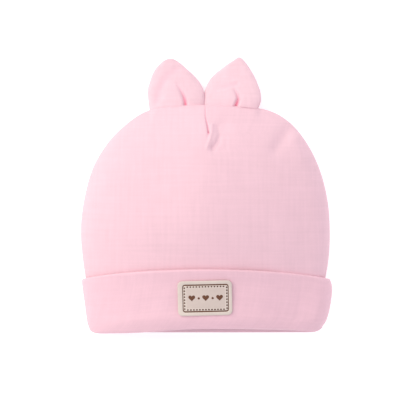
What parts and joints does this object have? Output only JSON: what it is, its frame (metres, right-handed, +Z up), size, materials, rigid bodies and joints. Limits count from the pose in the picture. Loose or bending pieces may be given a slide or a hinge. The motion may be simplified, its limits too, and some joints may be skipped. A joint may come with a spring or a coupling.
{
  "type": "baby hat with ears",
  "caption": "Soft pink cotton baby hat lying on its back, with a turned-up cuff, a plain leather patch on the cuff and small pointed ears on the top seam.",
  "frame": {"origin": "on the surface the hat lies on, under the centre of its bounding box", "axes": "+X to the right as the front of the hat is seen, +Y from the rim towards the ears, +Z up out of the front of the hat"},
  "size_m": [0.1718, 0.19, 0.0484],
  "materials": {
    "jersey": "soft matt cotton jersey",
    "patch_leather": "satin grained cream leather"
  },
  "bodies": {
    "root": {"crown": "jersey", "cuff": "jersey", "ear_left": "jersey", "ear_right": "jersey", "patch": "patch_leather"}
  },
  "joints": []
}
